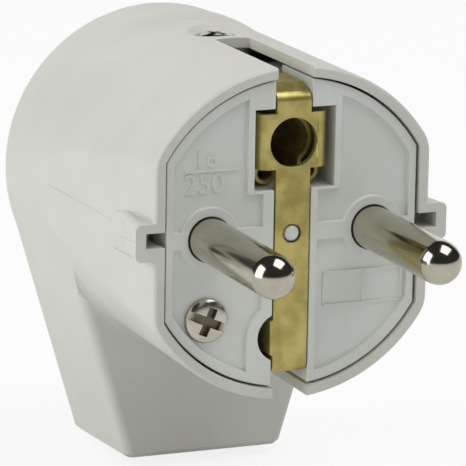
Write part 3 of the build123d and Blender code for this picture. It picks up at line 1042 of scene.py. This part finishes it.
            # The cutter's middle lies on the head's top, so half of it cuts
            tall = bench.math("MULTIPLY", depth, 2.0)
            size = bench.add("ShaderNodeCombineXYZ", {0: width, 1: breadth, 2: tall})
            cutter = bench.add("GeometryNodeMeshCube", {"Size": size.outputs[0]})
            lift = bench.add("ShaderNodeCombineXYZ", {2: entry["Head Height"]})
            shift = {"Geometry": cutter.outputs[0], "Translation": lift.outputs[0]}
            moved = bench.add("GeometryNodeTransform", shift)
            cut = bench.add("GeometryNodeMeshBoolean", {0: head, 1: moved.outputs[0]}, operation="DIFFERENCE")
            head = cut.outputs[0]
        # The recess mask, where the steel takes its dirt and painted shade
        place = bench.add("GeometryNodeInputPosition").outputs[0]
        level = bench.add("ShaderNodeSeparateXYZ", {0: place}).outputs[2]
        below = bench.math("SUBTRACT", entry["Head Height"], level)
        flat_place = bench.vector("MULTIPLY", place, (1, 1, 0))
        reach = bench.vector("LENGTH", flat_place, output="Value")
        limit = bench.math("MULTIPLY", entry["Head Radius"], self.recess_reach_share)
        inner = bench.math("LESS_THAN", reach, limit)
        deep = bench.math("MULTIPLY", bench.math("GREATER_THAN", below, self.recess_start * MM), inner)
        target = {"Geometry": head, "Name": "recess", "Value": deep}
        return bench.add("GeometryNodeStoreNamedAttribute", target, domain="POINT").outputs[0]

    def turn_shank(self, bench: Bench, entry: Entry) -> Socket:
        """Turns the shank with its thread and its pointed end.

        Args:
            bench: The tree's bench.
            entry: The tree's inputs.

        Returns:
            The shank.
        """
        grid, turn, share = self.wrap(bench, entry["Shank Rows"])
        reach = bench.math("ADD", entry["Shank Length"], self.sink * MM)
        height = bench.math("SUBTRACT", bench.math("MULTIPLY", share, reach), entry["Shank Length"])
        turns = bench.math("DIVIDE", height, entry["Pitch"])
        phase = bench.math("FRACT", bench.math("SUBTRACT", turns, turn))
        dip = bench.math("ABSOLUTE", bench.math("SUBTRACT", bench.math("MULTIPLY", phase, 2.0), 1.0))
        groove = bench.math("MULTIPLY", dip, self.thread_depth * MM)
        thread = bench.math("SUBTRACT", entry["Shank Radius"], groove)
        tip = bench.math("DIVIDE", bench.math("MULTIPLY", share, reach), entry["Shank Radius"], clamp=True)
        open_top = bench.math("LESS_THAN", share, self.last_row)
        radius = bench.math("MULTIPLY", bench.math("MULTIPLY", thread, tip), open_top)
        return self.close_turn(bench, grid, turn, radius, height)


@dataclass(frozen=True)
class Lamp:
    """A soft lamp: the way to it from the plug, how far, wide and tall it is in metres, and its power."""

    name: str
    way: tuple[float, float, float]
    distance: float
    width: float
    height: float
    power: float


@dataclass
class Studio:
    """The floor, the surroundings, the lamps and the camera at the photograph's place.

    Reflections show a dark room with a white sheet behind the plug and a glow at the floor. Their edges are
    pairs, the start and end of a fade on a unit sphere: along the backdrop's way for the sheet's edge, and by
    height for its top and for the glow.
    """

    image_width: float = 466.0
    focal_pixels: float = 4099.2
    sensor: float = 36.0
    azimuth: float = 22.67
    elevation: float = 13.30
    roll: float = 1.01
    camera_place: tuple[float, float, float] = (-171.39, -393.47, 101.45)
    ambient_behind: float = 0.32
    ambient_before: float = 0.43
    ambient_way: tuple[float, float, float] = (-0.35, -0.87, 0.35)
    floor_half_width: float = 3.0
    floor_grey: float = 0.8
    floor_white: float = 0.95
    floor_shade_share: float = 0.16
    floor_gloss_share: float = 0.25
    backdrop_way: tuple[float, float, float] = (0.385, 0.923, 0.0)
    sheet_edge: tuple[float, float] = (0.7, 0.88)
    sheet_top: tuple[float, float] = (0.35, 0.55)
    floor_glow: tuple[float, float] = (-0.02, 0.1)
    room_colour: tuple[float, float, float, float] = (0.03, 0.03, 0.03, 1.0)
    sheet_colour: tuple[float, float, float, float] = (1.0, 0.97, 0.95, 1.0)
    nearest: float = 0.01
    farthest: float = 20.0
    lamps: tuple[Lamp, ...] = (
        Lamp("left_softbox", (-0.92, 0.1, 0.3), 0.75, 0.6, 0.8, 4.05),
        Lamp("upper_softbox", (0.375, -0.23, 0.9), 0.7, 0.6, 0.45, 2.35),
    )

    def build(self) -> None:
        """Builds the floor, the surroundings, the lamps and the camera."""
        bpy.context.scene.view_settings.view_transform = "Standard"
        self.lay_floor()
        self.surround()
        for lamp in self.lamps:
            self.hang(lamp)
        self.set_camera()

    def lay_floor(self) -> None:
        """Lays a plain white floor that keeps the plug's shadow."""
        half = self.floor_half_width
        level = CAD_BOX[0].z
        mesh = bpy.data.meshes.new("studio_floor")
        corners = [(-half, -half, level), (half, -half, level), (half, half, level), (-half, half, level)]
        mesh.from_pydata(corners, [], [(0, 1, 2, 3)])
        floor = show("studio_floor", mesh)
        material = bpy.data.materials.new("floor_white")
        material.use_nodes = True
        bench = Bench(material.node_tree)
        material.node_tree.nodes.remove(material.node_tree.nodes["Principled BSDF"])
        path = bench.add("ShaderNodeLightPath").outputs
        seen = bench.math("MAXIMUM", path["Is Camera Ray"], path["Is Transmission Ray"])
        grey, pale = ((tone, tone, tone, 1.0) for tone in (self.floor_grey, self.floor_white))
        matt = bench.add("ShaderNodeBsdfDiffuse", {"Color": bench.blend(seen, grey, pale)})
        white = bench.add("ShaderNodeEmission", {"Color": WHITE, "Strength": 1.0})
        mirrored = bench.math("MULTIPLY", path["Is Glossy Ray"], self.floor_gloss_share)
        share = bench.math("MULTIPLY", bench.math("MAXIMUM", seen, mirrored), 1.0 - self.floor_shade_share)
        mix = bench.add("ShaderNodeMixShader", {0: share, 1: matt.outputs[0], 2: white.outputs[0]})
        bench.tree.links.new(mix.outputs[0], material.node_tree.nodes["Material Output"].inputs["Surface"])
        mesh.materials.append(material)

    def surround(self) -> None:
        """Puts up a white backdrop, a dark room for reflections, and soft light from the front."""
        world = bpy.data.worlds.new("studio")
        bpy.context.scene.world = world
        world.use_nodes = True
        bench = Bench(world.node_tree)
        world.node_tree.nodes.clear()
        path = bench.add("ShaderNodeLightPath").outputs
        way = bench.add("ShaderNodeTexCoord").outputs["Generated"]
        before = bench.vector("DOT_PRODUCT", way, self.ambient_way, output="Value")
        level = bench.spread(before, -1.0, 1.0, self.ambient_behind, self.ambient_before)
        even = bench.add("ShaderNodeBackground", {"Color": WHITE, "Strength": level})
        backdrop = bench.add("ShaderNodeBackground", {"Color": WHITE, "Strength": 1.0})
        height = bench.add("ShaderNodeSeparateXYZ", {0: way}).outputs["Z"]
        behind = bench.vector("DOT_PRODUCT", way, self.backdrop_way, output="Value")
        sheet = bench.spread(behind, *self.sheet_edge)
        sheet = bench.math("MULTIPLY", sheet, bench.spread(height, *self.sheet_top, 1.0, 0.0))
        lit = bench.math("MAXIMUM", sheet, bench.spread(height, *self.floor_glow, 1.0, 0.0))
        sky = bench.blend(lit, self.room_colour, self.sheet_colour)
        room = bench.add("ShaderNodeBackground", {"Color": sky, "Strength": 1.0})
        shaders = {0: path["Is Glossy Ray"], 1: even.outputs[0], 2: room.outputs[0]}
        unlit = bench.add("ShaderNodeMixShader", shaders)
        seen = bench.math("MAXIMUM", path["Is Camera Ray"], path["Is Transmission Ray"])
        whole = bench.add("ShaderNodeMixShader", {0: seen, 1: unlit.outputs[0], 2: backdrop.outputs[0]})
        bench.add("ShaderNodeOutputWorld", {"Surface": whole.outputs[0]})

    @staticmethod
    def hang(lamp: Lamp) -> None:
        """Hangs one soft lamp that points at the plug."""
        light = bpy.data.lights.new(lamp.name, "AREA")
        light.shape = "RECTANGLE"
        light.size, light.size_y = lamp.width, lamp.height
        light.energy = lamp.power
        holder = bpy.data.objects.new(lamp.name, light)
        way = Vector(lamp.way).normalized()
        holder.location = way * lamp.distance
        holder.rotation_mode = "QUATERNION"
        holder.rotation_quaternion = (-way).to_track_quat("-Z", "Y")
        bpy.context.scene.collection.objects.link(holder)

    def set_camera(self) -> None:
        """Sets the camera at the photograph's angle, distance and field of view."""
        turn, tilt, roll = (math.radians(angle) for angle in (self.azimuth, self.elevation, self.roll))
        back = Vector((-math.sin(turn) * math.cos(tilt), -math.cos(turn) * math.cos(tilt), math.sin(tilt)))
        level = Vector((math.cos(turn), -math.sin(turn), 0.0))
        upright = back.cross(level)
        right = level * math.cos(roll) + upright * math.sin(roll)
        up = upright * math.cos(roll) - level * math.sin(roll)
        data = bpy.data.cameras.new("photo_camera")
        data.sensor_width = self.sensor
        data.lens = self.focal_pixels / self.image_width * self.sensor
        data.clip_start = self.nearest
        data.clip_end = self.farthest
        camera = bpy.data.objects.new("photo_camera", data)
        turned = Matrix((right, up, back)).transposed().to_4x4()
        camera.matrix_world = Matrix.Translation(Vector(self.camera_place) * MM) @ turned
        bpy.context.scene.collection.objects.link(camera)
        bpy.context.scene.camera = camera


def main() -> None:
    """Builds and dresses the plug's sub-assemblies and sets up the studio."""
    logging.basicConfig(level=logging.INFO, format="%(message)s")
    wardrobe = Wardrobe()
    for assembly in (Casing(), ContactCarrier(), PinPair(), EarthContact(), CordClamp(), ScrewSet()):
        assembly.build(wardrobe)
    Studio().build()


if __name__ == "__main__":
    main()
